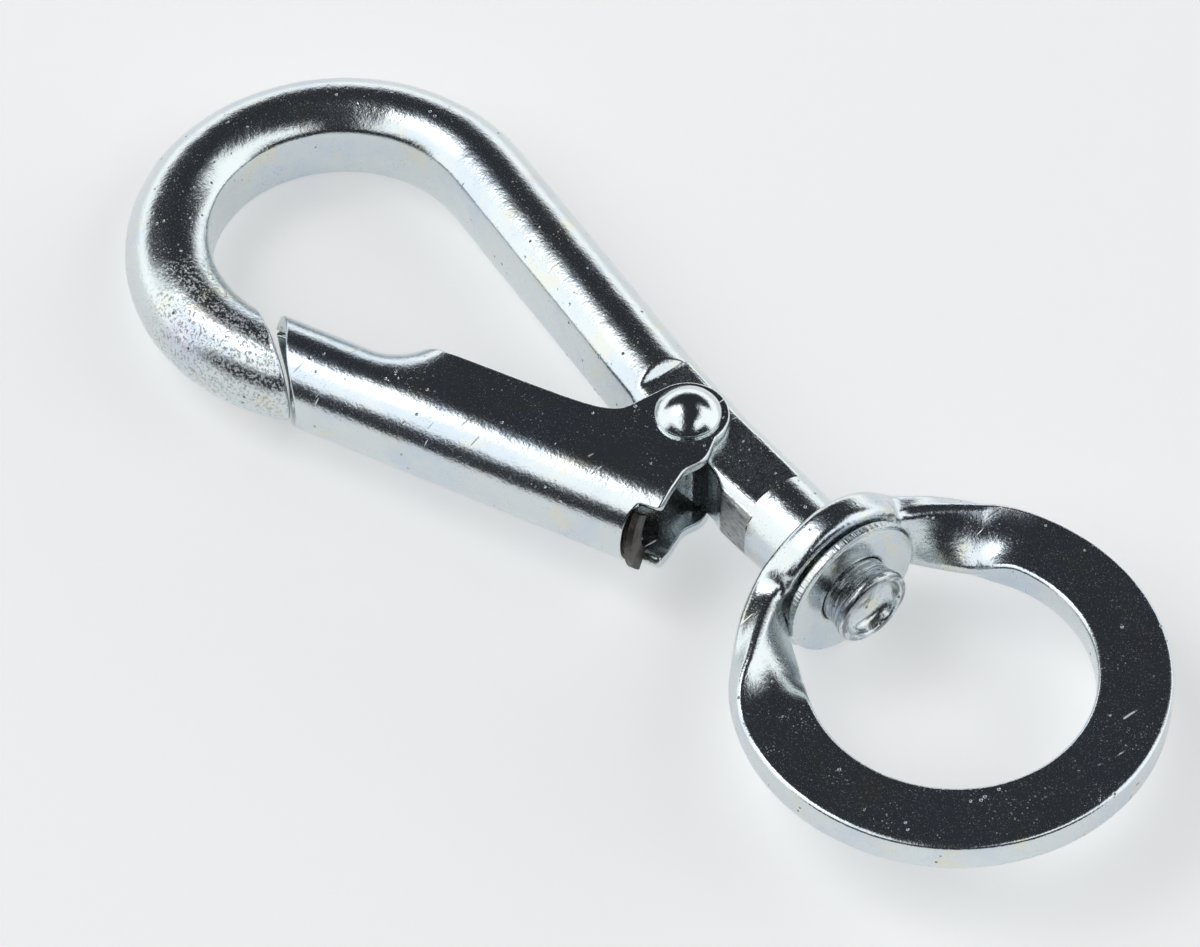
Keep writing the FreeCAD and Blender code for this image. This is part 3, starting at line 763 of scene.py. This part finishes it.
def zinc(
    name, grain=1.0, pits=1.0, scratches=1.0, gloss=0.13,
    milled=None, turned=None, torn=None, sheared=None, worn=None,
):
    """Bright zinc plate: film colours, plating grain, pits and handling scratches.

    milled, turned, torn and sheared are functions that say where those marks lie. The milled and turned
    marks also darken the colour there, partly painted dark reflection on the flats and the stud's stem.
    worn is the middle of a patch with heavier pits, in metres.
    """
    f = Finish(name)
    cloud = f.noise(95, 4.0, 0.6)
    drift = f.noise(210, 3.0, 0.5, distortion=0.6)
    fine = f.noise(3100, 3.0, 0.65)
    dents = f.noise(430, 3.0, 0.6)
    plate = rgb(0.70, 0.755, 0.765)
    colour = f.blend(cloud.above(0.46, 0.66) * 0.7, plate, rgb(0.60, 0.68, 0.78))
    colour = f.blend(drift.above(0.55, 0.7) * 0.6, colour, rgb(0.76, 0.75, 0.62))
    colour = f.blend(f.noise(160, 3.0).above(0.58, 0.76) * 0.45, colour, rgb(0.64, 0.61, 0.74))
    pits_and_painted_dark = f.cells(1000).above(0.2, 0.06) * f.noise(330, 2.0).above(0.54, 0.64) * pits
    dots = f.cells(2500).above(0.27, 0.12) * f.noise(300, 4.0, 0.7).above(0.48, 0.64)
    frost = f.noise(6000, 2.0, 0.7).above(0.54, 0.7)
    rough = gloss + cloud * 0.08 + pits_and_painted_dark * 0.25 + dots * (0.4 * grain) + frost * (0.14 * grain)
    scratch = 0.0
    for turn, scale in ((0.5, 60), (-0.9, 75), (1.9, 50)):
        lines = f.cells(1.0, f.stretch((scale * 22, scale * 1.1, scale * 3.0), (0, 0, turn)))
        mask = f.noise(130 + 40 * turn, 1.0).above(0.6, 0.68)
        scratch = lines.above(0.13, 0.02) * mask + scratch
    height = dents * 0.45 + fine * (0.2 * grain) - pits_and_painted_dark * 0.6 - scratch * (0.45 * scratches)
    rough = rough + scratch * (0.2 * scratches)
    if milled is not None:
        chip = f.noise(1700, 4.0, 0.7)
        where = milled(f)
        height = height + where * chip * 0.5
        rough = rough + where * 0.06
        # Darkens the flats' colour in a chipped pattern: partly milling marks, partly painted dark
        # reflection.
        pits_and_painted_dark = pits_and_painted_dark.math("MAXIMUM", where * chip.above(0.6, 0.35) * 0.7)
    if torn is not None:
        tear = f.noise(1.0, 4.0, 0.7, f.stretch((900, 900, 3200)))
        where = torn(f)
        height = height + where * tear * 1.3
        rough = rough + where * 0.12
        colour = f.blend(where * 0.8, colour, rgb(0.46, 0.47, 0.47))
        pits_and_painted_dark = pits_and_painted_dark.math("MAXIMUM", where * tear.above(0.55, 0.35) * 0.85)
    if sheared is not None:
        height = height + sheared(f) * f.noise(1.0, 3.0, 0.6, f.stretch((260, 2600, 2600))) * 1.6
    if turned is not None:
        rings = f.noise(1.0, 4.0, 0.7, f.stretch((3600, 360, 360)))
        where = turned(f)
        height = height + where * rings * 0.5
        # Darkens the stud stem's colour in rings: partly turning marks, partly painted dark reflection.
        pits_and_painted_dark = pits_and_painted_dark.math("MAXIMUM", where * rings.above(0.6, 0.42) * 0.95)
    if worn is not None:
        near = f.add("ShaderNodeVectorMath", "Value", {"operation": "DISTANCE"}, {0: f.place, 1: worn})
        patch = near.above(0.0125, 0.005) * f.noise(3000, 4.0, 0.75).above(0.54, 0.66)
        height = height - patch * 0.6
        rough = rough + patch * 0.08
        colour = f.blend(patch * 0.35, colour, rgb(0.36, 0.33, 0.28))
    # Near-black for the pits, and painted dark reflection on the milled flats and the stud's stem.
    colour = f.blend(pits_and_painted_dark * 0.75, colour, rgb(0.10, 0.10, 0.11))
    f.put("Base Color", colour)
    f.put("Metallic", 1.0)
    f.put("Roughness", rough)
    f.put("Normal", f.bump(height, 1.0, 0.00012))
    return f.material


def milled_faces(f):
    """The two milled flats on the shank."""
    x, _, z = f.axes()
    level = z.math("ABSOLUTE").above((FLAT_HEIGHT - 0.07) * MM, (FLAT_HEIGHT - 0.02) * MM)
    from_bow = x.above((FLAT_START - 0.1) * MM, (FLAT_START + 0.1) * MM)
    to_stud = x.above((FLAT_END + 0.1) * MM, (FLAT_END - 0.1) * MM)
    return level * from_bow * to_stud


def torn_facet(f):
    """The torn facet where the shank's milled side runs out."""
    x, y, _ = f.axes()
    depth = STUD_Y * MM - y
    face = depth.above(0.0035, 0.0037) * depth.above(0.00425, 0.00421)
    return face * x.above(0.0502, 0.0506) * x.above(0.0548, 0.0546)


def stud_stem(f):
    """The stem of the stud outside the washer, not the inside of its cup."""
    x, y, z = f.axes()
    across = y - STUD_Y * MM
    return x.above(0.0655, 0.0659) * (across * across + z * z).above(0.0032 ** 2, 0.0036 ** 2)


def washer_rim(f):
    """The washer's sheared rim, behind its front face."""
    return f.axes()[0].above(0.0659, 0.0657)


def dark_steel():
    f = Finish("spring_steel")
    worn = f.noise(420, 4.0, 0.65)
    f.put("Base Color", f.blend(worn.above(0.4, 0.7), rgb(0.045, 0.042, 0.038), rgb(0.16, 0.15, 0.14)))
    f.put("Metallic", 1.0)
    f.put("Roughness", worn * 0.3 + 0.3)
    f.put("Normal", f.bump(f.noise(1500, 3.0), 0.7, 0.00008))
    return f.material


def dress(piece, material):
    piece.data.materials.clear()
    piece.data.materials.append(material)


# ---------------------------------------------------------------- stage

def make_floor():
    """A floor that the bow and the swivel head both touch, so it leans a little along the hook."""
    mesh = bpy.data.meshes.new("floor")
    head_rests, slope, reach = -0.00872, 0.046, 3
    corners = [
        (x, y, head_rests - (x - HEAD_X * MM) * slope)
        for x, y in ((-reach, -reach), (reach, -reach), (reach, reach), (-reach, reach))
    ]
    mesh.from_pydata(corners, [], [(0, 1, 2, 3)])
    floor = bpy.data.objects.new("floor", mesh)
    bpy.context.scene.collection.objects.link(floor)
    f = Finish("pale_floor")
    f.put("Base Color", f.blend(f.noise(3, 2.0), rgb(0.86, 0.865, 0.87), rgb(0.88, 0.88, 0.88)))
    f.put("Roughness", 0.9)
    f.put("Emission Color", rgb(1.0, 1.0, 1.0))
    f.put("Emission Strength", 0.34)
    dress(floor, f.material)


def area_light(name, place, aim, width, height, watts):
    light = bpy.data.lights.new(name, "AREA")
    light.shape = "ELLIPSE"
    light.size = width
    light.size_y = height
    light.energy = watts
    lamp = bpy.data.objects.new(name, light)
    bpy.context.scene.collection.objects.link(lamp)
    lamp.location = place
    lamp.rotation_mode = "QUATERNION"
    lamp.rotation_quaternion = (Vector(aim) - Vector(place)).to_track_quat("-Z", "Y")


AZIMUTH = math.radians(51.0)
ELEVATION = math.radians(50.5)
BACK = np.array([
    math.sin(AZIMUTH) * math.cos(ELEVATION), -math.cos(AZIMUTH) * math.cos(ELEVATION), math.sin(ELEVATION),
])
RIGHT = np.array([math.cos(AZIMUTH), math.sin(AZIMUTH), 0.0])
UP = np.cross(BACK, RIGHT)


def make_camera():
    data = bpy.data.cameras.new("camera")
    data.sensor_width = 36.0
    data.lens = 210.0
    data.clip_start = 0.02
    data.clip_end = 20.0
    camera = bpy.data.objects.new("camera", data)
    bpy.context.scene.collection.objects.link(camera)
    distance, left, down = 689.7, 9.54, 3.12
    aim = np.array([PIVOT[0], STUD_Y, 0.0])
    camera.location = (aim + distance * BACK - left * RIGHT - down * UP) * MM
    camera.rotation_mode = "QUATERNION"
    camera.rotation_quaternion = Vector(-BACK).to_track_quat("-Z", "Y")
    bpy.context.scene.camera = camera


def make_lights():
    """A pale tent, open and dark overhead and towards the viewer, with one soft panel high on the left."""
    world = bpy.data.worlds.new("studio")
    world.use_nodes = True
    bpy.context.scene.world = world
    tree = world.node_tree
    place = add_node(tree, "ShaderNodeTexCoord", "Generated", {}, {})
    x, y, z = [add_node(tree, "ShaderNodeSeparateXYZ", axis, {}, {0: place}) for axis in ("X", "Y", "Z")]
    front = x * math.sin(AZIMUTH) - y * math.cos(AZIMUTH)
    side = x * math.cos(AZIMUTH) + y * math.sin(AZIMUTH)
    low_front = front.above(0.25, 0.45) * (1.0 - z.above(0.5, 0.64))
    far_high = front.above(-0.3, -0.5) * z.above(0.3, 0.44)
    left = side.above(-0.18, -0.34)
    right = side.above(0.22, 0.4) * (1.0 - z.above(0.78, 0.88))
    flank = left.math("MAXIMUM", right) * (1.0 - low_front) * (1.0 - far_high)
    back = (1.0 - z.above(0.3, 0.42)) * (1.0 - front.above(0.0, 0.3))
    strength = flank.math("MAXIMUM", back) * 1.25 + 0.035
    plug(tree, tree.nodes["Background"].inputs["Strength"], strength)
    tone = mix_colours(tree, strength.above(0.0, 1.0), rgb(0.78, 0.84, 1.0), rgb(0.985, 1.0, 1.0))
    plug(tree, tree.nodes["Background"].inputs["Color"], tone)
    area_light("left_panel", (-0.28, -0.22, 0.7), (0.02, 0, 0), 0.34, 0.34, 0.5)
    bpy.context.scene.view_settings.view_transform = "Standard"


finishes = {
    "hook_body": zinc(
        "forging_zinc", pits=1.3, scratches=0.8,
        milled=milled_faces, turned=stud_stem, torn=torn_facet, worn=(0.005, -0.0175, 0.003),
    ),
    "gate": zinc("sheet_zinc", grain=0.8, pits=0.7, scratches=1.4),
    "pivot_rivet": zinc("rivet_zinc", grain=0.6, pits=0.5, scratches=0.6, gloss=0.09),
    "swivel_washer": zinc(
        "washer_zinc", grain=0.8, pits=0.5, scratches=0.8, gloss=0.14, sheared=washer_rim,
    ),
    "ring_eye": zinc("eye_zinc", grain=1.1),
    "gate_spring": dark_steel(),
}
pieces = [
    make_hook(),
    make_gate(),
    make_rivet(finishes["pivot_rivet"]),
    make_washer(finishes["swivel_washer"]),
    make_ring(),
]
for node, material in finishes.items():
    dress(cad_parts[node], material)
for piece in pieces:
    dress(piece, finishes[piece["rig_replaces"][0]])
make_floor()
make_lights()
make_camera()
